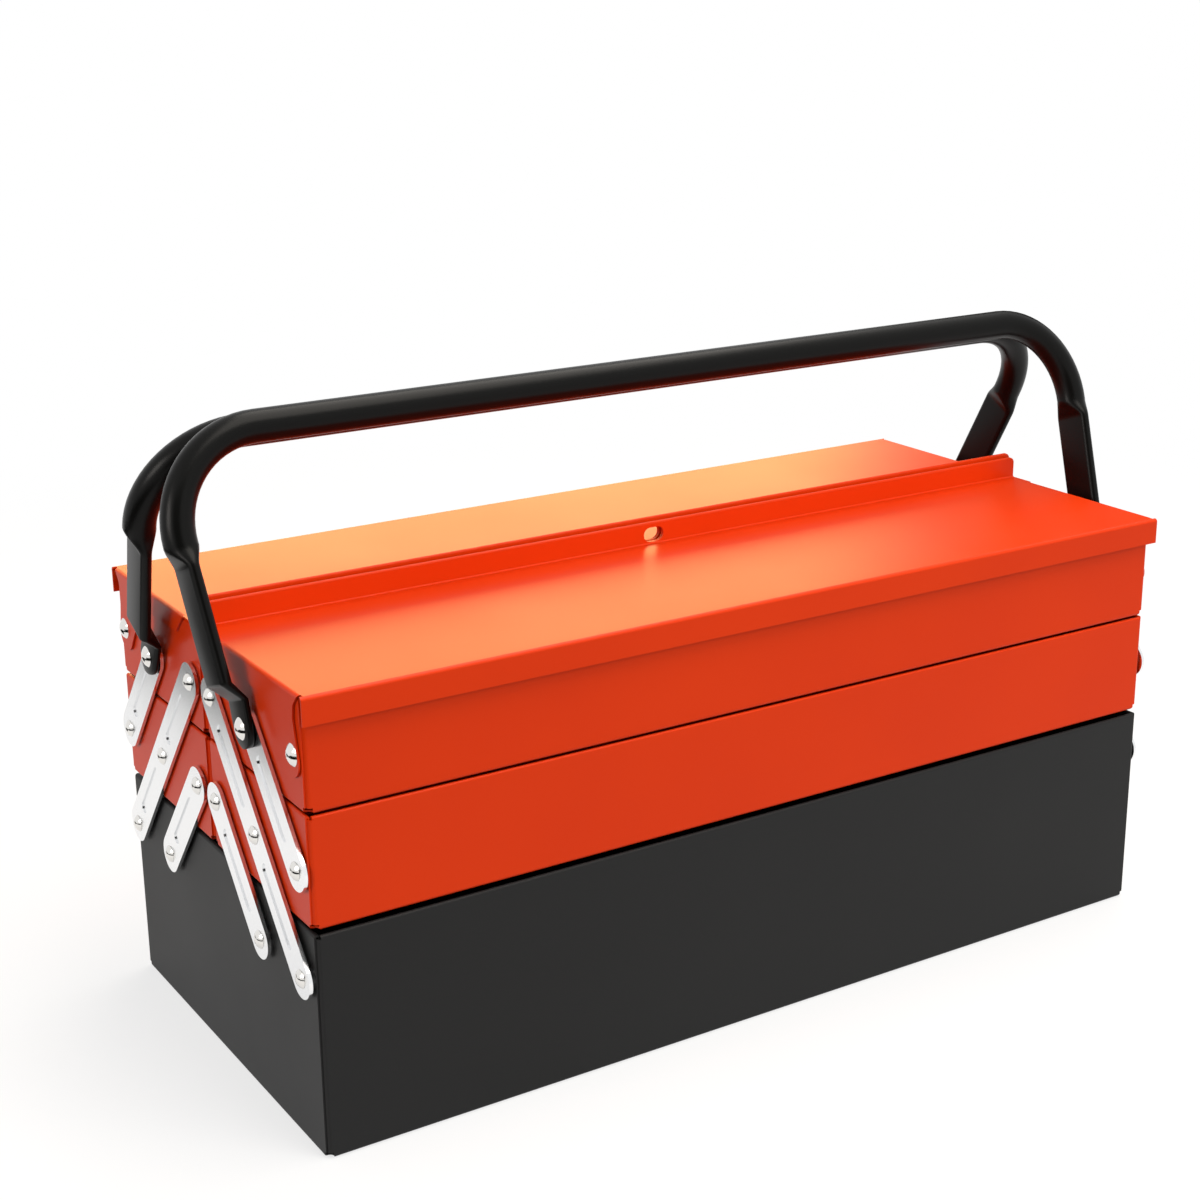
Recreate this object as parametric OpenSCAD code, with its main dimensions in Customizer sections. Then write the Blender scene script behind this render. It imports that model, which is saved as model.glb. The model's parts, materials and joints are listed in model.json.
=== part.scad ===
// Cantilever tool box of folded sheet steel.
// A base tub carries two mirrored halves. Each half has a middle tray, a top tray with a lid,
// and a carrying handle, and swings outwards on parallel links at both ends.
// Z is up, X runs along the length, and the front half lies on the -Y side.
// The origin is the centre of the base's underside. The box is drawn closed.

/* [Box] */
// Length of the base over its end walls
box_l = 449; // [379:5:559]
// Width of the base over its long walls
box_w = 203; // [183:2:241]
// Height of the base
base_h = 100; // [80:1:140]

/* [Trays] */
// Height of each middle tray
mid_tray_h = 48.5; // [44.5:1:60.5]
// Height of each top tray
top_tray_h = 47.4; // [43.4:1:59.4]
// Air between a middle tray's floor and the base's rim
base_gap = 2; // [0.6:0.1:3]
// Air between a top tray's floor and the middle tray's rim
level_gap = 1; // [0.6:0.1:2]
// How far a tray's end stands out over the base's end
tray_end_step = 0.5; // [0:0.1:1.5]
// How far a tray's long wall stands in from the base's long wall
tray_side_step = 1; // [0.5:0.1:3]
// Air between the front stack and the rear stack of trays
centre_gap = 2; // [1:0.1:4]

/* [Sheet metal] */
// Thickness of the sheet
sheet_t = 0.8; // [0.6:0.1:1]
// Inside radius of every fold
fold_r = 0.8; // [0.5:0.1:1.2]
// Depth of the leaf that is folded back inside a rim
rim_leaf_d = 8; // [5:0.5:10]
// Air inside the folded rim of the base
base_rim_air = 1; // [0.4:0.1:1.4]
// Air inside the folded rim of a tray
tray_rim_air = 0.4; // [0.2:0.1:0.8]
// Length of the tab that each long wall turns behind the end wall
corner_tab_l = 16; // [14:0.5:22]
// How far the relief hole at each bottom corner reaches past the folds
relief_past = 0.4; // [0.2:0.1:0.8]

/* [Lids] */
// Least air between a top tray's rim and its lid while the lid swings
lid_swing_air = 0.25; // [0.2:0.05:0.6]
// Air between a tray's end wall and the lid's end flange
lid_end_air = 0.3; // [0.2:0.05:0.8]
// Air between a tray's long wall and the lid's front flange
lid_front_air = 2.7; // [2:0.1:5]
// Height of the lid's front flange over the lid's top face
lid_front_h = 12; // [10:0.5:16]
// Height of the narrow part of the end flange
lid_end_h = 9.7; // [7:0.1:12]
// Distance of the end flange's inner tip from the box's middle plane
lid_end_start = 16; // [10:1:24]
// Length of the slant at the end flange's inner tip
lid_tip_run = 10; // [5:1:14]
// Distance from the lid pivot to the start of the ear
ear_run = 30.4; // [26:0.2:36]
// Distance from the lid pivot to the knee in the ear's slanted edge
knee_run = 17.4; // [14:0.2:22]
// Height of that knee above the lid pivot
knee_rise = 6.7; // [4:0.1:9]
// Radius of the round end of the ear
ear_r = 7.5; // [6.8:0.1:8.2]
// How far the centre of that round end lies inwards of the lid pivot
ear_in = 1.6; // [0:0.1:2.2]
// How far the centre of that round end lies below the lid pivot
ear_down = 2.2; // [0:0.1:3]
// Depth below the lid's top face of the notch between the ear and the front flange
notch_d = 11; // [9:0.5:14]
// Distance of the notch's deepest point outwards of the lid pivot
notch_out = 2.2; // [1:0.1:4]
// Gap between the end flange and the front flange at the lid's top corner
corner_gap = 3.7; // [2:0.1:5]
// Height of the front lid's upstand over the lid's top face
front_upstand_h = 10.5; // [9.5:0.1:14]
// Height of the rear lid's upstand over the lid's top face
rear_upstand_h = 12; // [9.5:0.1:15]
// Air inside the folded upstand
upstand_air = 0.4; // [0.2:0.1:0.8]
// Air between the two upstands
upstand_gap = 1.6; // [1:0.1:3]
// Radius of the upstand's end corners
upstand_r = 3; // [1:0.5:5]
// Length of the padlock slot
slot_l = 11; // [8:0.5:20]
// Width of the padlock slot
slot_w = 7; // [5:0.5:7.5]
// Height of the slot's centre over the lid's top face
slot_rise = 4.4; // [4:0.1:5]

/* [Links] */
// Inset of a middle tray's outermost pivot from its outer wall
pivot_inset = 8; // [6.5:0.5:9.5]
// Inset of a middle tray's innermost pivot from its inner wall
inner_pivot_inset = 9.5; // [8:0.5:12]
// How much less a link leans inwards over one level than one step between pivots
link_run_less = 1; // [0:0.5:3]
// How much less a link climbs than the trays do from one level to the next
link_climb_less = 2.2; // [1:0.1:5]
// Depth of the base pivots below the base's rim
base_pivot_drop = 21.5; // [18:0.5:26]
// Width of a link
link_w = 17; // [14:0.5:18]
// Thickness of a link
link_t = 1.5; // [1.2:0.1:2]
// Air between a tray's end wall and the links
link_stand_off = 1; // [0.9:0.1:1.6]
// Length of the pressed groove in each pitch of a link
groove_l = 37; // [24:1:40]
// Width of the pressed groove
groove_w = 5.5; // [4:0.5:7]
// Depth of the pressed groove
groove_d = 0.6; // [0.3:0.1:0.7]

/* [Lid pivots] */
// Inset of the lid pivot from a tray's long wall
lid_pivot_inset = 8.1; // [7:0.1:9.5]
// Depth of the lid pivot below the top tray's rim
lid_pivot_drop = 24.6; // [22:0.1:27]

/* [Rivets] */
// Diameter of a rivet's shank
shank_d = 5; // [4:0.1:6]
// Diameter of a link rivet's head
head_d = 8; // [7:0.1:9]
// Height of a link rivet's head
head_h = 2; // [1.5:0.1:2.2]
// Diameter of a handle or lid rivet's head
big_head_d = 9.5; // [8.5:0.1:11]
// Height of a handle or lid rivet's head
big_head_h = 2.1; // [1.5:0.1:2.4]
// Diameter of the head that is formed inside the wall
tail_d = 7.5; // [6.5:0.1:8]
// Height of the head that is formed inside the wall
tail_h = 1.3; // [1:0.1:1.6]
// Diameter of a spacing washer
washer_d = 10; // [9:0.1:11]

/* [Handles] */
// Diameter of the handle tube
tube_d = 14; // [12:0.5:16]
// Wall of the handle tube
tube_wall = 1.2; // [0.8:0.1:2]
// Bend radius of the tube's centre line
tube_bend_r = 40; // [30:1:50]
// Distance from the handle pivot to the tube's centre line
handle_reach = 118.8; // [112:0.2:130]
// Level distance between the skins of the two closed handles
handle_gap = 0.6; // [0.4:0.1:3]
// How far the closed handles lean to the front of the middle plane
handle_lean = 5.5; // [0:0.5:8]
// Angle by which the legs spread outwards above the joggle
leg_splay = 4.5; // [0:0.5:6]
// Width of the flattened leg
leg_w = 20; // [17:0.5:22]
// Thickness of the flattened leg
leg_t = 5; // [4:0.1:6]
// Length over which the round tube is pressed flat
press_l = 11; // [8:0.5:16]
// Width of the tab that holds the handle pivot
tab_w = 17; // [14:0.5:18]
// Thickness of the tab
tab_t = 3; // [2.4:0.1:3.2]
// Distance from the handle pivot to the start of the joggle
joggle_start = 12; // [11.5:0.1:14]
// Distance along the leg that the joggle takes
joggle_l = 4.5; // [4:0.1:8]
// How far the joggle sets the leg outwards from the tab
joggle_step = 5.5; // [4.5:0.1:7]

/* [Clearances] */
// Radial clearance of a link, lid or handle on its rivet
pivot_play = 0.06; // [0.03:0.01:0.1]
// Radial clearance at the pivot that closes each set of links
closing_play = 0.09; // [0.05:0.01:0.1]
// Radial clearance of a rivet in the wall that holds it
seat_play = 0.03; // [0.01:0.01:0.05]
// Axial clearance between pieces that turn on one rivet
side_play = 0.05; // [0.03:0.01:0.1]

/* [Hidden] */
$fn = 64;
too_much = 50;          // cutting bodies run this far past what they cut
lap = 0.01;             // a cut or a joined piece reaches this far past its face
press_step = 0.25;      // a leg's pressed stretch and joggle stand this far in from what they join
press_seat = 0.3;       // and reaches this far into it
ear_slant = 20;         // the ear's slanted edge meets its round end this many degrees below level
notch_bow_y = 0.9;      // at half its depth the notch's outer edge has moved this far outwards

fold_out = fold_r + sheet_t;
relief_r = fold_out + relief_past;
half_l = box_l / 2;
tray_half_l = half_l + tray_end_step;
tray_in_y = centre_gap / 2;
tray_out_y = box_w / 2 - tray_side_step;
mid_z = base_h + base_gap;
top_z = mid_z + mid_tray_h + level_gap;
rim_z = top_z + top_tray_h;

// Link pivots of one half. Their Y is the distance from the middle plane. A middle tray's three
// pivots are one pivot_step apart.
pivot_step = (tray_out_y - pivot_inset - tray_in_y - inner_pivot_inset) / 2;
link_run = pivot_step - link_run_less;
climb = mid_tray_h + level_gap - link_climb_less;
base_pivot_z = base_h - base_pivot_drop;
mid_pivot_z = base_pivot_z + climb;
top_pivot_z = mid_pivot_z + climb;
mid_out_y = tray_out_y - pivot_inset;
mid_centre_y = mid_out_y - pivot_step;
mid_in_y = mid_centre_y - pivot_step;
base_out_y = mid_centre_y + link_run;
base_in_y = mid_in_y + link_run;
top_in_y = mid_centre_y - link_run;
top_out_y = mid_out_y - link_run;
pitch = sqrt(link_run * link_run + climb * climb);
link_angle = 90 + atan(link_run / climb);

lid_pivot_y = tray_out_y - lid_pivot_inset;
lid_pivot_z = rim_z - lid_pivot_drop;
// The lid's underside passes over the outer rim, whose furthest point lies rim_reach away
// from the lid pivot, and its height is made up to the next tenth of a millimetre.
rim_roll_r = sheet_t + tray_rim_air / 2;
rim_reach = rim_roll_r + norm([lid_pivot_inset - rim_roll_r, lid_pivot_drop - rim_roll_r]);

// Layers outwards from the end walls.
link_in_x = tray_half_l + link_stand_off;
link_out_x = link_in_x + link_t;
tab_in_x = link_out_x + 2 * side_play;
tab_out_x = tab_in_x + tab_t;
leg_x = tab_in_x + joggle_step + leg_t / 2;

lid_half_l = tray_half_l + lid_end_air + sheet_t;
lid_out_y = tray_out_y + lid_front_air + sheet_t;
lid_under_z = ceil((lid_pivot_z + rim_reach + lid_swing_air) * 10) / 10;
lid_top_z = lid_under_z + sheet_t;
upstand_t = 2 * sheet_t + upstand_air;
upstand_y = upstand_gap / 2;

// The bend's centre line starts over the middle of the splayed leg's upper end.
bend_start_z = handle_reach - tube_bend_r;
leg_foot = joggle_start + joggle_l;
bend_start_x = leg_x + (bend_start_z - leg_foot) * tan(leg_splay);
bend_centre_x = bend_start_x - tube_bend_r;

PAINT = "#cf3a1c";
BLACK = "#242424";
PLATED = "#c9ccce";
BRIGHT = "#dfe1e3";

// ---------- placing ----------

// The halves are drawn on the +Y side: the rear one stays there, the front one is mirrored.
module in_half(front) {
    mirror([0, front ? 1 : 0, 0]) children();
}

// The right end is drawn at +X, and the left end is its mirror image.
module at_end(left) {
    mirror([left ? 1 : 0, 0, 0]) children();
}

module both_ends() {
    at_end(false) children();
    at_end(true) children();
}

// Turns a flat outline in Y and Z into a plate from x to x + t.
module end_plate(x, t) {
    translate([x, 0, 0]) rotate([90, 0, 90]) linear_extrude(t) children();
}

// Runs a section in Y and Z along X, half the length to each side.
module along_x(length) {
    end_plate(-length / 2, length) children();
}

// Runs a section in X and Z along Y, from y0 to y1.
module along_y(y0, y1) {
    translate([0, y1, 0]) rotate([90, 0, 0]) linear_extrude(y1 - y0) children();
}

// ---------- sheet-metal sections ----------

// Quarter of a fold, its centre at the origin, in the quadrant that sx and sy point to.
module quarter_fold(inner_r, sx, sy) {
    intersection() {
        difference() {
            circle(r = inner_r + sheet_t);
            circle(r = inner_r);
        }
        translate([sx > 0 ? 0 : -too_much, sy > 0 ? 0 : -too_much]) square(too_much);
    }
}

// Rim that is folded over inwards: its outer face at 0, its top at the given height,
// the leaf hanging on the negative side.
module rolled_rim(top, air) {
    roll_r = sheet_t + air / 2;
    translate([-roll_r, top - roll_r]) {
        quarter_fold(air / 2, 1, 1);
        quarter_fold(air / 2, -1, 1);
    }
    translate([-2 * roll_r, top - rim_leaf_d]) square([sheet_t, rim_leaf_d - roll_r]);
}

// Wall with the fold at its foot and the rolled rim at its head. The outer face is at 0.
module wall_section(z0, h, air) {
    roll_r = sheet_t + air / 2;
    translate([-fold_out, z0 + fold_out]) quarter_fold(fold_r, 1, -1);
    translate([-sheet_t, z0 + fold_out]) square([sheet_t, h - fold_out - roll_r]);
    rolled_rim(z0 + h, air);
}

// ---------- folded pans ----------

// One corner: the long wall turns a tab behind the end wall.
module pan_corner(half_x, y1, z0, h) {
    tab_top = z0 + h - rim_leaf_d - sheet_t;
    translate([half_x - sheet_t - fold_out, y1 - fold_out, z0 + fold_out]) {
        linear_extrude(tab_top - z0 - fold_out) {
            quarter_fold(fold_r, 1, 1);
            translate([fold_r, -corner_tab_l]) square([sheet_t, corner_tab_l]);
        }
    }
    translate([half_x - sheet_t - fold_out, y1 - fold_out, tab_top])
        linear_extrude(h + z0 - tab_top - 2 * sheet_t) {
            quarter_fold(fold_r, 1, 1);
            translate([fold_r, -2 * sheet_t]) square([sheet_t, 2 * sheet_t]);
        }
}

// Open pan with its outer faces at +-half_x, y0 and y1.
module pan(half_x, y0, y1, z0, h, air) {
    mid_y = (y0 + y1) / 2;
    depth = y1 - y0;
    difference() {
        union() {
            translate([-half_x + fold_out, y0 + fold_out, z0])
                cube([2 * (half_x - fold_out), depth - 2 * fold_out, sheet_t]);
            for (side = [0, 1])
                translate([0, mid_y, 0]) mirror([0, side, 0]) {
                    along_x(2 * (half_x - sheet_t - fold_out))
                        translate([depth / 2, 0]) wall_section(z0, h, air);
                    both_ends() pan_corner(half_x, depth / 2, z0, h);
                }
            both_ends()
                along_y(y0 + fold_out, y1 - fold_out)
                    translate([half_x, 0]) wall_section(z0, h, air);
        }
        for (sx = [-1, 1])
            for (y = [y0 + fold_out, y1 - fold_out])
                translate([sx * (half_x - fold_out), y, z0 - lap])
                    cylinder(r = relief_r, h = fold_out + relief_r / 2);
    }
}

// A hole through both end walls of a pan at one pivot.
module wall_hole(y, z) {
    both_ends()
        end_plate(half_l - 3 * fold_out, 4 * fold_out + tray_end_step)
            translate([y, z]) circle(d = shank_d + 2 * seat_play);
}

module base_pan() {
    difference() {
        pan(half_l, -box_w / 2, box_w / 2, 0, base_h, base_rim_air);
        for (side = [-1, 1])
            for (y = [base_in_y, base_out_y])
                wall_hole(side * y, base_pivot_z);
    }
}

module mid_pan() {
    difference() {
        pan(tray_half_l, tray_in_y, tray_out_y, mid_z, mid_tray_h, tray_rim_air);
        for (y = [mid_in_y, mid_centre_y, mid_out_y])
            wall_hole(y, mid_pivot_z);
    }
}

module top_pan() {
    difference() {
        pan(tray_half_l, tray_in_y, tray_out_y, top_z, top_tray_h, tray_rim_air);
        wall_hole(top_in_y, top_pivot_z);
        wall_hole(top_out_y, top_pivot_z);
        wall_hole(lid_pivot_y, lid_pivot_z);
    }
}

// ---------- lids ----------

// End flange with its ear, as a flat outline in Y and Z.
module lid_end_outline() {
    low_z = lid_top_z - lid_end_h;
    ear_y = lid_pivot_y - ear_in;
    ear_z = lid_pivot_z - ear_down;
    notch_z = lid_top_z - notch_d;
    polygon([
        [lid_end_start, lid_top_z],
        [lid_end_start + lid_tip_run, low_z],
        [lid_pivot_y - ear_run, low_z],
        [lid_pivot_y - knee_run, lid_pivot_z + knee_rise],
        [ear_y - ear_r * cos(ear_slant), ear_z - ear_r * sin(ear_slant)],
        [ear_y, ear_z],
        [ear_y + ear_r, ear_z],
        [lid_pivot_y + notch_out, notch_z],
        [lid_pivot_y + notch_out + notch_bow_y, notch_z + notch_d / 2],
        [lid_out_y - corner_gap, lid_top_z]
    ]);
    translate([ear_y, ear_z]) circle(r = ear_r);
}

// Folded plate over one end: the fold along the lid's end and the flange below it.
module lid_end_flange() {
    intersection() {
        along_y(lid_end_start, lid_out_y) {
            translate([lid_half_l - fold_out, lid_top_z - fold_out]) quarter_fold(fold_r, 1, 1);
            translate([lid_half_l - sheet_t, top_z])
                square([sheet_t, lid_top_z - fold_out - top_z]);
        }
        end_plate(lid_half_l - 2 * fold_out, 3 * fold_out) lid_end_outline();
    }
}

// Upstand on the inner edge: the plate folds up, and is folded back on itself at the top.
module upstand_section(h) {
    crest_z = lid_top_z + h;
    roll_r = upstand_t / 2;
    leaf_y = upstand_y + upstand_t - sheet_t;
    translate([leaf_y + fold_out, lid_under_z + fold_out]) quarter_fold(fold_r, -1, -1);
    translate([leaf_y, lid_under_z + fold_out])
        square([sheet_t, crest_z - roll_r - lid_under_z - fold_out]);
    translate([upstand_y + roll_r, crest_z - roll_r]) {
        quarter_fold(upstand_air / 2, 1, 1);
        quarter_fold(upstand_air / 2, -1, 1);
    }
    translate([upstand_y, lid_under_z]) square([sheet_t, crest_z - roll_r - lid_under_z]);
}

// Rounds the two top corners of the upstand.
module upstand_corner_cut(h) {
    crest_z = lid_top_z + h;
    both_ends()
        translate([lid_half_l - upstand_r, upstand_y - lap, crest_z - upstand_r])
            rotate([-90, 0, 0]) linear_extrude(upstand_t + 2 * lap) difference() {
                translate([0, -2 * upstand_r]) square(2 * upstand_r);
                circle(r = upstand_r);
            }
}

module padlock_slot() {
    slot_run = slot_l - slot_w;
    translate([0, upstand_y - lap, lid_top_z + slot_rise])
        rotate([-90, 0, 0]) linear_extrude(upstand_t + 2 * lap) {
            for (side = [-1, 1])
                translate([side * slot_run / 2, 0]) circle(d = slot_w);
            square([slot_run, slot_w], center = true);
        }
}

module lid(upstand_h) {
    plate_y = upstand_y + upstand_t - sheet_t + fold_out;
    difference() {
        union() {
            along_x(2 * (lid_half_l - fold_out)) polygon([
                [plate_y, lid_under_z],
                [lid_out_y - fold_out, lid_under_z],
                [lid_out_y - fold_out, lid_top_z],
                [plate_y, lid_top_z]
            ]);
            both_ends()
                translate([lid_half_l - fold_out - lap, plate_y, lid_under_z])
                    cube([fold_out + lap, lid_end_start - plate_y, sheet_t]);
            along_x(2 * lid_half_l) {
                upstand_section(upstand_h);
                translate([lid_out_y - fold_out, lid_top_z - fold_out]) quarter_fold(fold_r, 1, 1);
                translate([lid_out_y - sheet_t, lid_top_z - lid_front_h])
                    square([sheet_t, lid_front_h - fold_out]);
            }
            both_ends() lid_end_flange();
        }
        upstand_corner_cut(upstand_h);
        padlock_slot();
        both_ends()
            end_plate(lid_half_l - 2 * sheet_t, 3 * sheet_t)
                translate([lid_pivot_y, lid_pivot_z]) circle(d = shank_d + 2 * pivot_play);
    }
}

// ---------- links ----------

// Flat outline with round ends, from the origin to length along its first axis.
module stadium(length, width) {
    circle(d = width);
    translate([length, 0]) circle(d = width);
    translate([0, -width / 2]) square([length, width]);
}

// Pressed link from its lowest pivot at y and z upwards over the given number of pitches.
// plays lists the radial play of each bore, from the lowest one up.
module link(y, z, pitches, plays) {
    length = pitches * pitch;
    bump_w = groove_w + 2 * groove_d;
    rotate([90, 0, 90]) translate([y, z, link_in_x]) rotate(link_angle) difference() {
        union() {
            linear_extrude(link_t) stadium(length, link_w);
            for (i = [0 : pitches - 1])
                translate([(i + 0.5) * pitch - (groove_l - groove_w) / 2, 0, -groove_d])
                    linear_extrude(groove_d + lap) stadium(groove_l - groove_w, bump_w);
        }
        for (i = [0 : pitches - 1])
            translate([(i + 0.5) * pitch - (groove_l - groove_w) / 2, 0, link_t - groove_d])
                linear_extrude(groove_d + lap) stadium(groove_l - groove_w, groove_w);
        for (i = [0 : pitches])
            translate([i * pitch, 0, -lap])
                linear_extrude(link_t + 2 * lap) circle(d = shank_d + 2 * plays[i]);
    }
}

module lower_link(front, left) {
    color(PLATED) in_half(front) at_end(left)
        link(base_in_y, base_pivot_z, 1, [pivot_play, closing_play]);
}

module long_link(front, left) {
    color(PLATED) in_half(front) at_end(left)
        link(base_out_y, base_pivot_z, 2, [pivot_play, pivot_play, pivot_play]);
}

module upper_link(front, left) {
    color(PLATED) in_half(front) at_end(left)
        link(mid_out_y, mid_pivot_z, 1, [pivot_play, closing_play]);
}

// ---------- rivets and washers ----------

// Dome of diameter d and height h over the plane z = 0.
module dome(d, h) {
    ball_r = (d * d / 4 + h * h) / (2 * h);
    rotate_extrude() intersection() {
        translate([0, h - ball_r]) circle(r = ball_r, $fn = 96);
        square([d / 2, h]);
    }
}

// Number of sheets at a pivot: two where the corner tab lies behind the end wall.
function sheets_at(inset) = inset < fold_out + corner_tab_l - tail_d / 2 ? 2 : 1;

// Rivet along X. wall_x is the end wall's outer face and grip_x is where the head sits.
module rivet(y, z, wall_x, sheets, grip_x, cap_d, cap_h) {
    tail_x = wall_x - sheets * sheet_t;
    translate([0, y, z]) rotate([0, 90, 0]) {
        translate([0, 0, tail_x - lap]) cylinder(d = shank_d, h = grip_x - tail_x + 2 * lap);
        translate([0, 0, grip_x]) dome(cap_d, cap_h);
        translate([0, 0, tail_x]) mirror([0, 0, 1]) dome(tail_d, tail_h);
    }
}

module washer(y, z, wall_x) {
    end_plate(wall_x, link_in_x - wall_x - side_play) difference() {
        translate([y, z]) circle(d = washer_d);
        translate([y, z]) circle(d = shank_d + 2 * seat_play);
    }
}

// Heads of the link rivets and of the handle rivets sit just clear of what turns below them.
link_grip_x = link_out_x + side_play;
handle_grip_x = tab_out_x + side_play;
lid_grip_x = lid_half_l + side_play;

module base_pivot_rivets() {
    color(BRIGHT) both_ends() for (front = [true, false]) in_half(front)
        for (y = [base_in_y, base_out_y])
            rivet(y, base_pivot_z, half_l, sheets_at(box_w / 2 - y), link_grip_x, head_d, head_h);
}

module base_pivot_washers() {
    color(PLATED) both_ends() for (front = [true, false]) in_half(front)
        for (y = [base_in_y, base_out_y])
            washer(y, base_pivot_z, half_l);
}

// Sheets at a tray pivot, counted from the nearer long wall.
function tray_sheets(y) = sheets_at(min(y - tray_in_y, tray_out_y - y));

module mid_tray_rivets(front) {
    color(BRIGHT) in_half(front) both_ends()
        for (y = [mid_in_y, mid_centre_y, mid_out_y])
            rivet(y, mid_pivot_z, tray_half_l, tray_sheets(y), link_grip_x, head_d, head_h);
}

module mid_tray_washers(front) {
    color(PLATED) in_half(front) both_ends()
        for (y = [mid_in_y, mid_centre_y, mid_out_y])
            washer(y, mid_pivot_z, tray_half_l);
}

module top_tray_rivets(front) {
    color(BRIGHT) in_half(front) both_ends()
        rivet(top_in_y, top_pivot_z, tray_half_l, tray_sheets(top_in_y), link_grip_x,
            head_d, head_h);
}

module top_tray_washers(front) {
    color(PLATED) in_half(front) both_ends()
        for (y = [top_in_y, top_out_y])
            washer(y, top_pivot_z, tray_half_l);
}

module handle_rivets(front) {
    color(BRIGHT) in_half(front) both_ends()
        rivet(top_out_y, top_pivot_z, tray_half_l, tray_sheets(top_out_y), handle_grip_x,
            big_head_d, big_head_h);
}

module lid_rivets(front) {
    color(BRIGHT) in_half(front) both_ends()
        rivet(lid_pivot_y, lid_pivot_z, tray_half_l, tray_sheets(lid_pivot_y), lid_grip_x,
            big_head_d, big_head_h);
}

// ---------- handles ----------

// Straight top and two bends of the tube, drawn upright over the pivot axis.
module bent_tube(d) {
    translate([-bend_centre_x, 0, handle_reach])
        rotate([0, 90, 0]) cylinder(d = d, h = 2 * bend_centre_x);
    both_ends()
        translate([bend_centre_x, 0, handle_reach - tube_bend_r])
            rotate([90, 0, 0]) rotate_extrude(angle = 90)
                translate([tube_bend_r, 0]) circle(d = d);
}

// Flat section of the leg, with round edges: leg_t along X and leg_w across it.
module leg_outline() {
    translate([0, -(leg_w - leg_t) / 2]) rotate(90) stadium(leg_w - leg_t, leg_t);
}

// Leg below one bend: the tube is pressed flat and turned to the leg's slant, runs down
// straight and steps in to its tab.
module handle_leg() {
    flat_l = (bend_start_z - leg_foot) / cos(leg_splay) - press_l;
    hull() {
        translate([bend_start_x, 0, bend_start_z - press_seat])
            linear_extrude(2 * press_seat) circle(d = tube_d - 2 * press_step, $fn = 32);
        on_leg() translate([0, 0, flat_l - press_seat]) linear_extrude(2 * press_seat)
            for (side = [-1, 1])
                translate([0, side * (leg_w - leg_t) / 2])
                    circle(d = leg_t - 2 * press_step, $fn = 32);
    }
    on_leg() {
        linear_extrude(flat_l) leg_outline();
        handle_joggle();
    }
    end_plate(tab_in_x, tab_t) tab_outline();
}

// Stands what is drawn upright on the leg's foot, and leans it outwards with the leg.
module on_leg() {
    translate([leg_x, 0, leg_foot]) rotate([0, leg_splay, 0]) children();
}

// Round-ended tab from the pivot up to the joggle.
module tab_outline() {
    circle(d = tab_w);
    translate([-tab_w / 2, 0]) square([tab_w, joggle_start]);
}

// Point of the tab at x and z, given across and along the splayed leg.
function leg_point(x, z) = [
    (x - leg_x) * cos(leg_splay) - (z - leg_foot) * sin(leg_splay),
    (x - leg_x) * sin(leg_splay) + (z - leg_foot) * cos(leg_splay)
];

// Slanted stretch between the tab and the leg, as wide as the tab, drawn on the leg's foot.
module handle_joggle() {
    along_y(-tab_w / 2, tab_w / 2)
        polygon([
            leg_point(tab_in_x + press_step, joggle_start - press_step),
            leg_point(tab_out_x, joggle_start - press_step),
            [leg_t / 2, 0],
            [leg_t / 2, leg_t],
            [-leg_t / 2, leg_t]
        ]);
}

// Handle of one half, tilted until its tube lies tube_y from the middle plane.
module handle(tube_y) {
    handle_tilt = asin((top_out_y - tube_y) / handle_reach);
    translate([0, top_out_y, top_pivot_z]) rotate([handle_tilt, 0, 0]) difference() {
        union() {
            bent_tube(tube_d);
            both_ends() handle_leg();
        }
        bent_tube(tube_d - 2 * tube_wall);
        both_ends()
            end_plate(tab_in_x - lap, tab_t + 2 * lap) circle(d = shank_d + 2 * pivot_play);
    }
}

// ---------- nodes ----------

module base_tub() {
    color(BLACK) base_pan();
}

module mid_tray(front) {
    color(PAINT) in_half(front) mid_pan();
}

module top_tray(front) {
    color(PAINT) in_half(front) top_pan();
}

module half_lid(front) {
    color(PAINT) in_half(front) lid(front ? front_upstand_h : rear_upstand_h);
}

module half_handle(front) {
    color(BLACK) in_half(front)
        handle((tube_d + handle_gap) / 2 + (front ? handle_lean : -handle_lean));
}

base_tub();
base_pivot_rivets();
base_pivot_washers();

mid_tray(true);  // front_mid_tray
top_tray(true);  // front_top_tray
half_lid(true);  // front_lid
half_handle(true);  // front_handle
lower_link(true, true);  // front_left_lower_link
lower_link(true, false);  // front_right_lower_link
long_link(true, true);  // front_left_long_link
long_link(true, false);  // front_right_long_link
upper_link(true, true);  // front_left_upper_link
upper_link(true, false);  // front_right_upper_link
mid_tray_rivets(true);  // front_mid_tray_rivets
mid_tray_washers(true);  // front_mid_tray_washers
top_tray_rivets(true);  // front_top_tray_rivets
top_tray_washers(true);  // front_top_tray_washers
handle_rivets(true);  // front_handle_rivets
lid_rivets(true);  // front_lid_rivets

mid_tray(false);  // rear_mid_tray
top_tray(false);  // rear_top_tray
half_lid(false);  // rear_lid
half_handle(false);  // rear_handle
lower_link(false, true);  // rear_left_lower_link
lower_link(false, false);  // rear_right_lower_link
long_link(false, true);  // rear_left_long_link
long_link(false, false);  // rear_right_long_link
upper_link(false, true);  // rear_left_upper_link
upper_link(false, false);  // rear_right_upper_link
mid_tray_rivets(false);  // rear_mid_tray_rivets
mid_tray_washers(false);  // rear_mid_tray_washers
top_tray_rivets(false);  // rear_top_tray_rivets
top_tray_washers(false);  // rear_top_tray_washers
handle_rivets(false);  // rear_handle_rivets
lid_rivets(false);  // rear_lid_rivets
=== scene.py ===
# %% [markdown]
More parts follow.
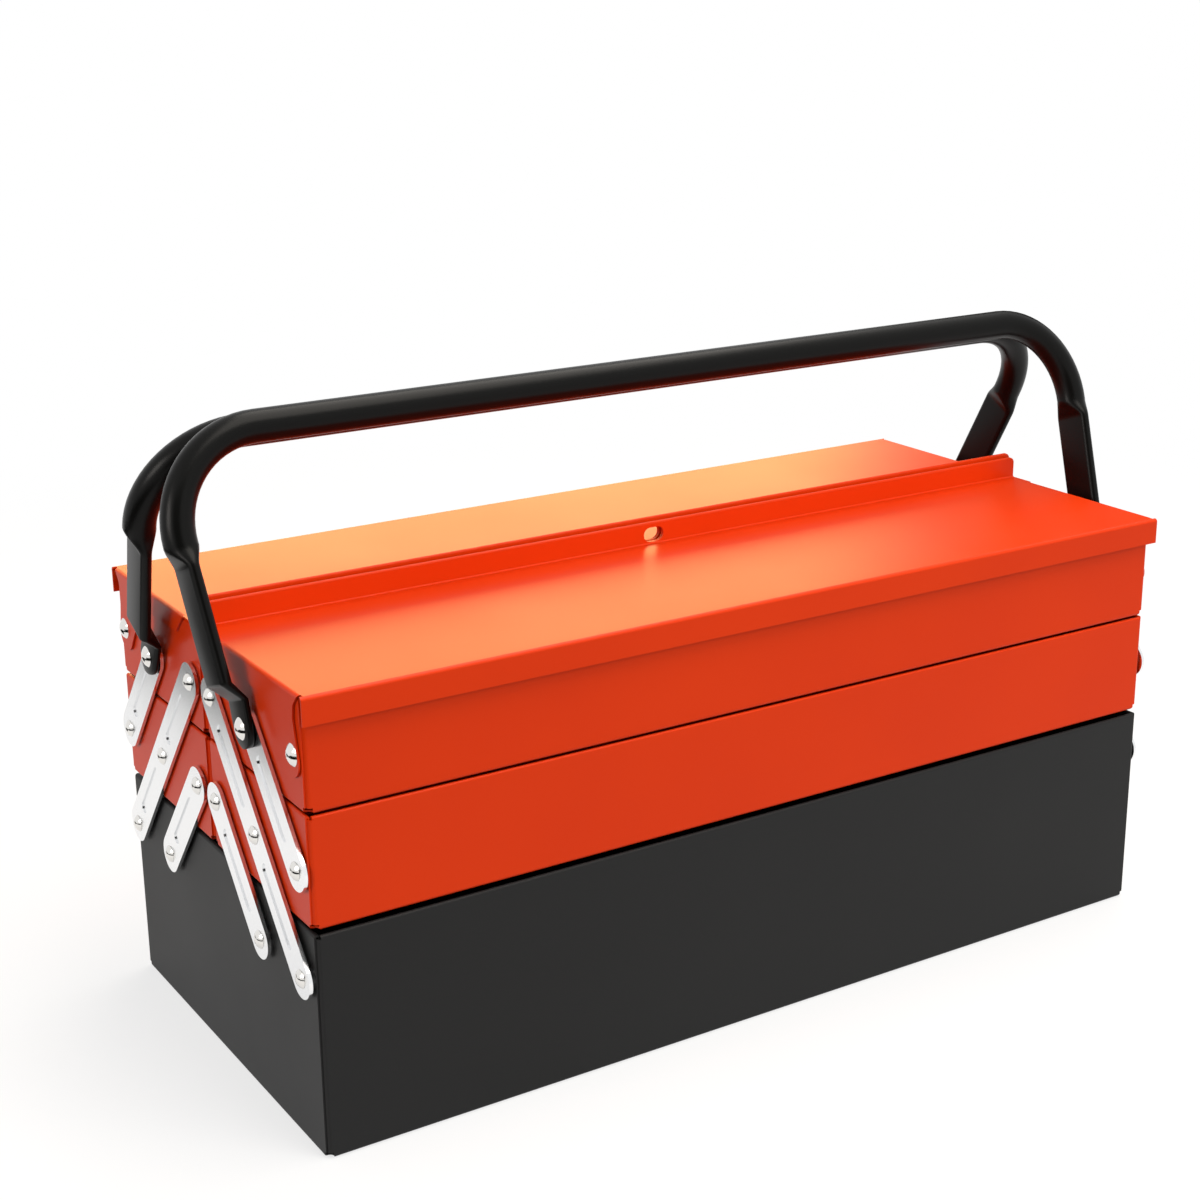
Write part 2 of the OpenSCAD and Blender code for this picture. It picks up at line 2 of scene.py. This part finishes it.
# # A cantilever tool box
# The tool box is folded from thin steel sheet: a black base, four orange-red trays that swing
# out on zinc-plated links, two lids and two black tube handles. The imported model gives every
# part its place in metres, so this file only has to give the parts their looks. The frame is
# loaded first. Nothing added later may make the box any bigger.

# %% Load the frame
import json
import math

import bmesh
import bpy
from mathutils import Matrix, Vector


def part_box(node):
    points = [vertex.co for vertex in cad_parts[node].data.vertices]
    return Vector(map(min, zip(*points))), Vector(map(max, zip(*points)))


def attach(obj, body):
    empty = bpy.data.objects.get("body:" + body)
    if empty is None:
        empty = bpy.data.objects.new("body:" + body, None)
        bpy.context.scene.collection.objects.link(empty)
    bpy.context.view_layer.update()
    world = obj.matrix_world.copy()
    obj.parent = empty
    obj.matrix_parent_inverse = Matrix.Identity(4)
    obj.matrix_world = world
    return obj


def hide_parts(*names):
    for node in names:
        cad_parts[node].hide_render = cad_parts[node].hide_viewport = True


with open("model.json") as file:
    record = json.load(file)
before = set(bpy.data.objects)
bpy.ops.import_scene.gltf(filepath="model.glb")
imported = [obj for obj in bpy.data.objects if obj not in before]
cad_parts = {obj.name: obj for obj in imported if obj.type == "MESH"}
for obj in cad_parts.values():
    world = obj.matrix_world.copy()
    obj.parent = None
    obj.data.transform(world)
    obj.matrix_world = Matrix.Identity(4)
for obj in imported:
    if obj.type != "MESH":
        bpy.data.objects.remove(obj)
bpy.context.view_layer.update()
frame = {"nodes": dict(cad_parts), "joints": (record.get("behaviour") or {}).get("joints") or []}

nodes = frame["nodes"]

# %% [markdown]
# ## The camera
# The photograph looks down a little on the front left corner. The camera's place was worked
# out from the corners of the box in the picture: 32 degrees to the left, 18 degrees above
# level and about a metre away. It is turned by a matrix built from its own right, up and back
# directions, which is exact, where a Track To constraint could not give it the slight tilt.

# %% Camera at the photograph's angle
AZIMUTH, ELEVATION, ROLL = math.radians(-31.97), math.radians(17.64), math.radians(-0.56)
CAMERA_PLACE = (-0.5176, -0.7839, 0.4711)
SENSOR_MM, LENS_MM = 36, 62.235

camera = bpy.data.objects.new("camera", bpy.data.cameras.new("camera"))
bpy.context.scene.collection.objects.link(camera)
back = Vector((math.sin(AZIMUTH) * math.cos(ELEVATION),
               -math.cos(AZIMUTH) * math.cos(ELEVATION), math.sin(ELEVATION)))
right = Vector((math.cos(AZIMUTH), math.sin(AZIMUTH), 0))
up = back.cross(right)
tilt = Matrix((right, up, back)).transposed() @ Matrix.Rotation(ROLL, 3, "Z")
camera.matrix_world = Matrix.Translation(CAMERA_PLACE) @ tilt.to_4x4()
camera.data.sensor_width, camera.data.lens = SENSOR_MM, LENS_MM
camera.data.clip_start, camera.data.clip_end = 0.01, 50
bpy.context.scene.camera = camera
bpy.context.scene.view_settings.view_transform = "Standard"
print("camera", round(camera.location.length, 3), "m from the middle of the base")

# %% [markdown]
# ## Colours and nodes
# A hex colour picked from a picture is in sRGB, but shaders count in linear light, so one
# function turns every colour. One more function adds a shader node with its settings and
# links in a single call, so that each material reads as a short list. An input is named by
# its label, or by its number where a node has several inputs with one label: a colour Mix
# node, for example, takes its two colours at 6 and 7 and gives the result at 2.

# %% Colour
def colour(hex_code):
    """A '#rrggbb' colour as linear red, green, blue and alpha."""
    parts = [int(hex_code[i:i + 2], 16) / 255 for i in (1, 3, 5)]
    return [c / 12.92 if c <= 0.04045 else ((c + 0.055) / 1.055) ** 2.4 for c in parts] + [1]


print("a middle grey of #808080 is", round(colour("#808080")[0], 3), "in linear light")

# %% Nodes and materials
MM = 0.001    # Blender counts in metres, and the patterns are given in millimetres


def add_node(tree, kind, settings=None, links=None):
    """Adds a node. Settings are its options or its inputs' values; links feed its inputs."""
    node = tree.nodes.new(kind)
    for name, value in (settings or {}).items():
        if isinstance(name, str) and hasattr(node, name):
            setattr(node, name, value)
        else:
            node.inputs[name].default_value = value
    for name, socket in (links or {}).items():
        tree.links.new(socket, node.inputs[name])
    return node


def new_material(name):
    """An empty node material, its tree, and the place in metres as a texture coordinate."""
    material = bpy.data.materials.new(name)
    material.use_nodes = True
    material.node_tree.nodes.clear()
    place = add_node(material.node_tree, "ShaderNodeTexCoord").outputs["Object"]
    return material, material.node_tree, place


print("one millimetre is", MM, "m")

# %% [markdown]
# ## Orange-red stoving enamel
# The trays and lids are sprayed with a semi-gloss enamel and baked. Such paint is smooth, yet
# never flat: it keeps a faint orange peel about 2 mm across, and its colour drifts a little
# over a hand's width. Noise on the part's own coordinates gives both, with no image.

# %% Enamel
def enamel(name):
    """Semi-gloss paint with a drift of its colour and gloss, and a faint orange peel."""
    drift_size, peel_size, peel_depth = 90 * MM, 2.2 * MM, 0.05 * MM
    material, tree, place = new_material(name)
    drift = add_node(tree, "ShaderNodeTexNoise", {"Scale": 1 / drift_size, "Detail": 2},
                     {"Vector": place})
    shade = add_node(tree, "ShaderNodeMix", {"data_type": "RGBA", 6: colour("#d23204"),
                     7: colour("#dc3a08")}, {0: drift.outputs["Fac"]})
    peel = add_node(tree, "ShaderNodeTexNoise", {"Scale": 1 / peel_size, "Detail": 1},
                    {"Vector": place})
    bump = add_node(tree, "ShaderNodeBump", {"Strength": 0.10, "Distance": peel_depth},
                    {"Height": peel.outputs["Fac"]})
    gloss = add_node(tree, "ShaderNodeMapRange", {"To Min": 0.30, "To Max": 0.38},
                     {"Value": drift.outputs["Fac"]})
    paint = add_node(tree, "ShaderNodeBsdfPrincipled",
                     {"IOR": 1.5, "Specular IOR Level": 0.15},
                     {"Base Color": shade.outputs[2], "Roughness": gloss.outputs[0],
                      "Normal": bump.outputs[0]})
    add_node(tree, "ShaderNodeOutputMaterial", {}, {"Surface": paint.outputs[0]})
    return material


tray_enamel = enamel("orange_red_stoving_enamel")
print(tray_enamel.name)

# %% [markdown]
# ## Black powder coat and handle paint
# The base is powder coated. The grains melt into a skin with a fine, even texture of about
# 0.6 mm that spreads every reflection, so the black looks soft. The handles have a smoother
# black paint with longer, lower waves, which gives the tube its long highlight. Both are the
# same kind of surface at another grain, so one function makes them.

# %% Black coatings
def black_coating(name, hex_code, roughness, grain, depth, specular):
    """A black coat with a texture of the given grain and depth. Its gloss varies in clouds."""
    cloud_size, gloss_spread = 70 * MM, 0.05
    material, tree, place = new_material(name)
    skin = add_node(tree, "ShaderNodeTexNoise", {"Scale": 1 / grain, "Detail": 2},
                    {"Vector": place})
    bump = add_node(tree, "ShaderNodeBump", {"Strength": 0.25, "Distance": depth},
                    {"Height": skin.outputs["Fac"]})
    cloud = add_node(tree, "ShaderNodeTexNoise", {"Scale": 1 / cloud_size, "Detail": 3},
                     {"Vector": place})
    gloss = add_node(tree, "ShaderNodeMapRange",
                     {"To Min": roughness - gloss_spread, "To Max": roughness + gloss_spread},
                     {"Value": cloud.outputs["Fac"]})
    coat = add_node(tree, "ShaderNodeBsdfPrincipled", {"Base Color": colour(hex_code),
                    "IOR": 1.5, "Specular IOR Level": specular},
                    {"Roughness": gloss.outputs[0], "Normal": bump.outputs[0]})
    add_node(tree, "ShaderNodeOutputMaterial", {}, {"Surface": coat.outputs[0]})
    return material


base_powder_coat = black_coating("black_powder_coat", "#1c1c1c", roughness=0.5,
                                 grain=0.6 * MM, depth=0.03 * MM, specular=0.2)
handle_paint = black_coating("black_semi_gloss_paint", "#0a0a09", roughness=0.3,
                             grain=1.5 * MM, depth=0.02 * MM, specular=0.12)
print(base_powder_coat.name, handle_paint.name)

# %% [markdown]
# ## Zinc and nickel plating
# The links and washers are punched from strip steel and zinc plated, which leaves a bright
# metal with a faint cloudiness. The rivets are nickel plated and smoother, so that they mirror
# the studio in small dark and bright spots. A metal's colour is its reflection colour, and
# noise of the clouds' size moves its roughness between two values.

# %% Plated metals
def plated(name, hex_code, smoothest, roughest, cloud_size):
    """A plated metal whose roughness varies in clouds of the given size."""
    material, tree, place = new_material(name)
    cloud = add_node(tree, "ShaderNodeTexNoise", {"Scale": 1 / cloud_size, "Detail": 4},
                     {"Vector": place})
    gloss = add_node(tree, "ShaderNodeMapRange", {"To Min": smoothest, "To Max": roughest},
                     {"Value": cloud.outputs["Fac"]})
    metal = add_node(tree, "ShaderNodeBsdfPrincipled", {"Base Color": colour(hex_code),
                     "Metallic": 1}, {"Roughness": gloss.outputs[0]})
    add_node(tree, "ShaderNodeOutputMaterial", {}, {"Surface": metal.outputs[0]})
    return material


link_zinc = plated("bright_zinc_plate", "#eeeff0", 0.15, 0.22, 25 * MM)
rivet_nickel = plated("nickel_plate", "#e2e0dc", 0.08, 0.16, 3 * MM)
print(link_zinc.name, rivet_nickel.name)

# %% [markdown]
# ## Soft and crisp edges
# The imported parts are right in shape, so they stay. Paint rounds every cut edge of the sheet,
# though, and a bevel of a fifth of a millimetre catches the light as it does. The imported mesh
# is loose triangles: Weld joins them, Decimate dissolves flat neighbours into whole faces,
# Bevel rounds the edges, and Weighted Normal keeps the large faces flat in the light. The
# punched links have no paint and keep crisp edges, also along their pressed grooves, so they
# and the rivets get no bevel, and the shading breaks at their edges. Marking sharp edges by
# hand would do the same, but a small node tree finds them by their angle.

# %% Node trees for the shading
def smoothing_tree(name, sharp_from):
    """A geometry node tree for smooth shading, which stays sharp at edges over an angle."""
    tree = bpy.data.node_groups.new(name, "GeometryNodeTree")
    for way in ("INPUT", "OUTPUT"):
        tree.interface.new_socket("Geometry", in_out=way, socket_type="NodeSocketGeometry")
    start = add_node(tree, "NodeGroupInput")
    smooth = add_node(tree, "GeometryNodeSetShadeSmooth", {}, {0: start.outputs[0]})
    turn = add_node(tree, "GeometryNodeInputMeshEdgeAngle")
    corner = add_node(tree, "FunctionNodeCompare", {"operation": "GREATER_THAN", 1: sharp_from},
                      {0: turn.outputs[0]})
    crisp = add_node(tree, "GeometryNodeSetShadeSmooth",
                     {"domain": "EDGE", "Shade Smooth": False},
                     {0: smooth.outputs[0], "Selection": corner.outputs[0]})
    add_node(tree, "NodeGroupOutput", {}, {0: crisp.outputs[0]})
    return tree


ALL_SMOOTH = smoothing_tree("all_smooth", math.pi)    # no edge turns further than this
CRISP_EDGES = smoothing_tree("crisp_edges", math.radians(25))
print(ALL_SMOOTH.name, CRISP_EDGES.name)

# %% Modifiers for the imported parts
SAME_POINT = 0.002 * MM
SAME_PLANE = math.radians(0.5)
BEVEL_FROM = math.radians(40)
PAINT_ROUND = 0.2 * MM


def soften(piece, width):
    """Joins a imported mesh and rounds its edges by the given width, or keeps them crisp at 0."""
    weld = piece.modifiers.new("weld", "WELD")
    weld.merge_threshold = SAME_POINT
    flat = piece.modifiers.new("flat_faces", "DECIMATE")
    flat.decimate_type, flat.angle_limit = "DISSOLVE", SAME_PLANE
    if width:
        edge = piece.modifiers.new("edges", "BEVEL")
        edge.width, edge.segments = width, 2
        edge.limit_method, edge.angle_limit = "ANGLE", BEVEL_FROM
    piece.modifiers.new("smooth", "NODES").node_group = ALL_SMOOTH if width else CRISP_EDGES
    piece.modifiers.new("normals", "WEIGHTED_NORMAL").keep_sharp = True


print("painted edges are rounded by", PAINT_ROUND / MM, "mm")

# %% [markdown]
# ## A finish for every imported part
# A part's name says what it is, so the name decides its finish: powder coat on the base,
# enamel on trays and lids, zinc on links and washers, nickel on the rivets. The handles are
# left out here, because the next step draws them anew.

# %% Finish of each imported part
def finish_for(name):
    """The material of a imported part, and how far its edges are rounded."""
    if name == "base_tub":
        return base_powder_coat, PAINT_ROUND
    if name.endswith(("tray", "lid")):
        return tray_enamel, PAINT_ROUND
    if name.endswith(("link", "washers")):
        return link_zinc, 0
    return rivet_nickel, 0


kept = [name for name in nodes if not name.endswith("handle")]
for name in kept:
    material, width = finish_for(name)
    nodes[name].data.materials.clear()
    nodes[name].data.materials.append(material)
    soften(nodes[name], width)
print("finished", len(kept), "packed parts")

# %% [markdown]
# ## Handles
# Each handle is one steel tube. It is bent at both corners, and each leg is pressed flat, then
# set inwards by a joggle to a round-ended tab that turns on the tray's rivet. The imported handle
# has hard steps where the presses begin and end. A real press draws the round section over
# into the flat one little by little, so the tube is drawn here as one skin: a ring of points
# is extruded from station to station along the tube, and each new ring takes the section that
# the tube has there. A curve with a bevel would be quicker, but its section stays round.

# %% Sizes of the handle, in metres, with heights over its pivot
TUBE_R = 7 * MM
REACH = 118.8 * MM                      # from the pivot to the middle of the tube
BEND_R = 40 * MM
SPLAY = math.radians(4.5)               # the legs spread outwards by this angle
TURN = math.pi / 2 + SPLAY              # from the middle of the tube to a leg
LEG_HALF_W, LEG_HALF_T = 10 * MM, 2.5 * MM
LEG_X = 235.6 * MM                      # middle of the leg at its foot
FOOT_Z = 16.5 * MM
TAB_HALF_W, TAB_HALF_T = 8.5 * MM, 1.5 * MM
TAB_X = 229.1 * MM                      # middle of the tab
JOGGLE_TOP_Z, JOGGLE_LOW_Z = FOOT_Z + 2.4 * MM, 11.6 * MM
PRESS_L = 13 * MM                       # length over which the press leaves its mark
PRESS_HURRY = 1.4                       # the section is flat after 1 / 1.4 of that length
print("a handle reaches", REACH / MM, "mm from its pivot")

# %% [markdown]
# A station says where a ring lies and what section the tube has there: its place in X and Z,
# the angle that its outer side faces, its half width and its half thickness. Only one half is
# listed, from the middle of the tube to the end of the tab, and a mirror makes the other.

# %% The straight tube and its bend
def leg_place(z):
    """X of the middle of the splayed leg at a height over the pivot."""
    return LEG_X + (z - FOOT_Z) * math.tan(SPLAY)


def tube_stations(straight=4, steps=18):
    """The straight tube and the bend, which stay round."""
    centre_x, centre_z = leg_place(REACH - BEND_R) - BEND_R, REACH - BEND_R
    rings = [(centre_x * i / straight, REACH, 0, TUBE_R, TUBE_R) for i in range(straight)]
    for i in range(steps + 1):
        a = TURN * i / steps
        rings.append((centre_x + BEND_R * math.sin(a), centre_z + BEND_R * math.cos(a), a,
                      TUBE_R, TUBE_R))
    return rings


stations = tube_stations()
print(len(stations), "rings in the straight tube and the bend")

# %% [markdown]
# Below the bend the press draws the tube flat. A smooth step starts and ends level, so that no
# crease shows where the press begins or ends.

# %% The press and the flat leg
def smooth_step(t):
    """Goes from 0 to 1 with a level start and end."""
    return t * t * (3 - 2 * t)


def between(a, b, share):
    """The value that lies the given share of the way from a to b."""
    return a + (b - a) * share


def leg_stations(bend_end, steps=12):
    """The press, which draws the tube flat from the end of the bend, and the flat leg."""
    rings = []
    for i in range(1, steps + 1):
        z = bend_end - PRESS_L * i / steps
        flat = smooth_step(min(1, PRESS_HURRY * i / steps))
        rings.append((leg_place(z), z, TURN, between(TUBE_R, LEG_HALF_W, flat),
                      between(TUBE_R, LEG_HALF_T, flat)))
    # The last two rings lie close together, which keeps the joggle's upper bend small.
    for z in (45 * MM, 30 * MM, FOOT_Z + 3 * MM, JOGGLE_TOP_Z):
        rings.append((leg_place(z), z, TURN, LEG_HALF_W, LEG_HALF_T))
    return rings


stations += leg_stations(bend_end=stations[-1][1])
print(len(stations), "rings down to the joggle")

# %% [markdown]
# The joggle is a pair of small bends that brings the tab in beside the tray's wall. Its rings
# lie close to the two bends, and the last rings close the tab in an arc.

# %% The joggle and the tab
def tab_stations(steps=11, end_turn=math.radians(80)):
    """The joggle, the tab and the tab's round end."""
    rings = []
    for t in (0.12, 0.5, 0.88, 1):
        rings.append((between(leg_place(JOGGLE_TOP_Z), TAB_X, t),
                      between(JOGGLE_TOP_Z, JOGGLE_LOW_Z, t), TURN - SPLAY * t,
                      between(LEG_HALF_W, TAB_HALF_W, t), between(LEG_HALF_T, TAB_HALF_T, t)))
    # The first ring of the tab lies close under the joggle, which keeps its lower bend small.
    for z in (JOGGLE_LOW_Z - 0.6 * MM, 0):
        rings.append((TAB_X, z, math.pi / 2, TAB_HALF_W, TAB_HALF_T))
    for i in range(1, steps + 1):
        a = end_turn * i / steps
        rings.append((TAB_X, -TAB_HALF_W * math.sin(a), math.pi / 2,
                      max(TAB_HALF_W * math.cos(a), TAB_HALF_T), TAB_HALF_T))
    return rings


stations += tab_stations()
print(len(stations), "rings from the middle of a handle to the end of its tab")

# %% [markdown]
# Every ring has the same number of points, so the faces between two rings are plain quads. On
# a flat section the points gather in its two round ends, and only two long faces span it.

# %% One ring and the next
RING_POINTS = 40


def set_ring(ring, station):
    """Moves a ring's points on to a station: round-ended, flat between the round ends."""
    x, z, angle, half_w, half_t = station
    outer = Vector((math.sin(angle), 0, math.cos(angle)))
    for i, vert in enumerate(ring):
        # Half a step on, so that no point lies on the line between the two round ends.
        a = 2 * math.pi * (i + 0.5) / len(ring)
        across = half_t * math.sin(a) + math.copysign(half_w - half_t, math.sin(a))
        vert.co = Vector((x, 0, z)) + outer * half_t * math.cos(a) + Vector((0, across, 0))


def edges_of(skin, ring):
    """The edges that run round a ring."""
    return [e for e in skin.edges if e.verts[0] in ring and e.verts[1] in ring]


def next_ring(skin, ring):
    """Extrudes a ring and gives the new ring, with its points in the same order."""
    grown = bmesh.ops.extrude_edge_only(skin, edges=edges_of(skin, ring))["geom"]
    new_verts = {v for v in grown if isinstance(v, bmesh.types.BMVert)}
    return [next(e.other_vert(old) for e in old.link_edges if e.other_vert(old) in new_verts)
            for old in ring]


print("each ring has", RING_POINTS, "points")

# %% [markdown]
# The half tube is closed at the tab's end and mirrored. Then it is leant towards the other
# handle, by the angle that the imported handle's height gives, and moved to its pivot.

# %% Build and place the handles
MERGE_DISTANCE = 0.01 * MM


def handle_skin():
    """A whole upright handle, with its pivots on the X axis."""
    skin = bmesh.new()
    ring = bmesh.ops.create_circle(skin, segments=RING_POINTS, radius=TUBE_R)["verts"]
    set_ring(ring, stations[0])
    for station in stations[1:]:
        ring = next_ring(skin, ring)
        set_ring(ring, station)
    bmesh.ops.contextual_create(skin, geom=[e for e in edges_of(skin, ring) if e.is_boundary])
    bmesh.ops.mirror(skin, geom=skin.verts[:] + skin.edges[:] + skin.faces[:], axis="X",
                     merge_dist=MERGE_DISTANCE)
    bmesh.ops.remove_doubles(skin, verts=skin.verts, dist=MERGE_DISTANCE)
    bmesh.ops.recalc_face_normals(skin, faces=skin.faces)
    for face in skin.faces:
        face.smooth = True
    return skin


def handle_piece(half, side):
    """A handle of one half. Side is 1 for the rear half and -1 for the front half."""
    packed = half + "_handle"
    pivot = next(j for j in frame["joints"] if j["name"] == half + "_handle_swing")["pos_m"]
    lean = math.acos((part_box(packed)[1][2] - TUBE_R - pivot[2]) / REACH)
    skin = handle_skin()
    bmesh.ops.rotate(skin, verts=skin.verts, matrix=Matrix.Rotation(side * lean, 3, "X"))
    bmesh.ops.translate(skin, verts=skin.verts, vec=pivot)
    piece = bpy.data.objects.new(half + "_tube_handle", bpy.data.meshes.new(half + "_tube_handle"))
    skin.to_mesh(piece.data)
    skin.free()
    bpy.context.scene.collection.objects.link(piece)
    piece.data.materials.append(handle_paint)
    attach(piece, packed)
    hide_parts(packed)
    print(piece.name, len(piece.data.polygons), "faces, leans", round(math.degrees(lean), 1))


handle_piece("front", -1)
handle_piece("rear", 1)

# %% [markdown]
# ## Floor and background
# The picture was taken on white. The floor is one large sheet of pale paper that keeps the
# shadow. Light Path makes it and the surroundings white to the camera and in the metal,
# without putting more light on the box. The paper grows whiter with the distance, as a paper
# sweep does that has lamps of its own, so that no horizon shows.

# %% Floor sheet
FLOOR_HALF = 6           # metres from the middle to each side
FLOOR_DROP = 0.2 * MM    # just under the box, so that no two faces share a plane

floor_mesh = bmesh.new()
bmesh.ops.create_grid(floor_mesh, x_segments=1, y_segments=1, size=FLOOR_HALF)
floor = bpy.data.objects.new("floor", bpy.data.meshes.new("floor"))
floor_mesh.to_mesh(floor.data)
floor_mesh.free()
floor.data.transform(Matrix.Translation((0, 0, -FLOOR_DROP)))
bpy.context.scene.collection.objects.link(floor)
print("floor", floor.dimensions.x, "m wide")

# %% Paper
NEAR, FAR = 0.35, 1.1              # metres over which the paper grows white
NEAR_SHARE, FAR_SHARE = 0.68, 1    # share of white there


def seen_by(tree, *kinds):
    """One for rays of the given kinds, such as "Camera" or "Glossy", else zero."""
    path = add_node(tree, "ShaderNodeLightPath").outputs
    seen = path[f"Is {kinds[0]} Ray"]
    for kind in kinds[1:]:
        seen = add_node(tree, "ShaderNodeMath", {"operation": "MAXIMUM"},
                        {0: seen, 1: path[f"Is {kind} Ray"]}).outputs[0]
    return seen


paper, tree, place = new_material("white_paper_floor")
matt = add_node(tree, "ShaderNodeBsdfDiffuse", {"Color": colour("#f4f4f4")})
glow = add_node(tree, "ShaderNodeEmission", {"Color": colour("#ffffff")},
                {"Strength": seen_by(tree, "Camera", "Glossy", "Transmission")})
distance = add_node(tree, "ShaderNodeVectorMath", {"operation": "LENGTH"}, {0: place})
whiter = add_node(tree, "ShaderNodeMapRange", {"From Min": NEAR, "From Max": FAR,
                  "To Min": NEAR_SHARE, "To Max": FAR_SHARE},
                  {"Value": distance.outputs["Value"]})
sheet = add_node(tree, "ShaderNodeMixShader", {}, {0: whiter.outputs[0], 1: matt.outputs[0],
                 2: glow.outputs[0]})
add_node(tree, "ShaderNodeOutputMaterial", {}, {"Surface": sheet.outputs[0]})
floor.data.materials.append(paper)
print(paper.name)

# %% Surroundings
ROOM_LIGHT = 0.5    # strength at which the surroundings light the box

world = bpy.data.worlds.new("studio")
world.use_nodes = True
world.node_tree.nodes.clear()
light_level = add_node(world.node_tree, "ShaderNodeMapRange",
                       {"To Min": ROOM_LIGHT, "To Max": 1},
                       {"Value": seen_by(world.node_tree, "Camera", "Glossy", "Transmission")})
room = add_node(world.node_tree, "ShaderNodeBackground", {"Color": colour("#ffffff")},
                {"Strength": light_level.outputs[0]})
add_node(world.node_tree, "ShaderNodeOutputWorld", {}, {"Surface": room.outputs[0]})
bpy.context.scene.world = world
print(world.name)

# %% [markdown]
# ## Lamps
# Four soft boxes light the box. A long one overhead draws the highlight along the tubes and
# folds, one on the left shapes the end walls, and a large one in front fills the long walls.
# A warm one stands low behind, where the lids mirror it towards the camera, and gives them
# their orange sheen. It lights only the enamel, as a lamp with barn doors would.

# %% A soft box
AIM = (0, 0, 0.15)    # about the middle of the box


def facing(place, target):
    """Rotation that turns a lamp or card at a place towards a target."""
    return (Vector(target) - Vector(place)).to_track_quat("-Z", "Y")


def add_soft_box(name, place, width, height, power, tint, mirrored=True):
    """A soft box, in metres and watts, that the camera doesn't see.

    If it isn't mirrored, it shows in no reflection either.
    """
    lamp = bpy.data.objects.new(name, bpy.data.lights.new(name, "AREA"))
    lamp.data.shape, lamp.data.size, lamp.data.size_y = "RECTANGLE", width, height
    lamp.data.energy, lamp.data.color = power, colour(tint)[:3]
    lamp.location = place
    lamp.rotation_euler = facing(place, AIM).to_euler()
    lamp.visible_camera, lamp.visible_glossy = False, mirrored
    bpy.context.scene.collection.objects.link(lamp)
    return lamp


print("the lamps point at", AIM)

# %% The four soft boxes
add_soft_box("overhead_soft_box", (0.35, -0.1, 1.5), 2.0, 0.9, 24, "#fff8ee")
add_soft_box("left_soft_box", (-1.9, -0.2, 0.9), 0.7, 0.7, 12, "#fff8f2")
add_soft_box("front_soft_box", (0.7, -1.9, 1.0), 1.6, 1.2, 24, "#ffffff", mirrored=False)
warm = add_soft_box("warm_soft_box", (0.35, 1.8, 0.6), 2.2, 0.8, 28, "#ffcc64")
enamelled = bpy.data.collections.new("enamelled_parts")
for name in kept:
    if name.endswith(("tray", "lid")):
        enamelled.objects.link(nodes[name])
warm.light_linking.receiver_collection = enamelled

# %% [markdown]
# ## Black flags
# Bright metal in an all-white studio looks like paper. So dark cards, which only reflections
# see, stand behind the camera and at the back right, and two lie low at the left, beside the
# end walls with the links. The rivets, links, grooves and tubes then have something dark to
# mirror. A darker world would do it too, but would also dull the enamel.

# %% Flags
flag_cloth, tree, _ = new_material("black_flag_cloth")
dark = add_node(tree, "ShaderNodeBsdfDiffuse", {"Color": colour("#101010")})
add_node(tree, "ShaderNodeOutputMaterial", {}, {"Surface": dark.outputs[0]})


def add_flag(name, place, size, target):
    """A square black card that only reflections see, turned towards a target."""
    card = bmesh.new()
    bmesh.ops.create_grid(card, x_segments=1, y_segments=1, size=size / 2)
    bmesh.ops.rotate(card, verts=card.verts, matrix=facing(place, target).to_matrix())
    bmesh.ops.translate(card, verts=card.verts, vec=place)
    flag = bpy.data.objects.new(name, bpy.data.meshes.new(name))
    card.to_mesh(flag.data)
    card.free()
    flag.visible_camera = flag.visible_diffuse = flag.visible_shadow = False
    flag.data.materials.append(flag_cloth)
    bpy.context.scene.collection.objects.link(flag)
    print(name, size, "m wide")


add_flag("front_flag", (-1.4, -2.4, 1.1), 2.4, AIM)
add_flag("right_flag", (2.3, 1.5, 0.9), 1.3, AIM)
add_flag("low_left_flag", (-0.85, -0.15, 0.02), 0.7, (-0.85, -0.15, 1))
add_flag("low_rear_flag", (-0.52, 0.36, 0.02), 0.3, (-0.52, 0.36, 1))
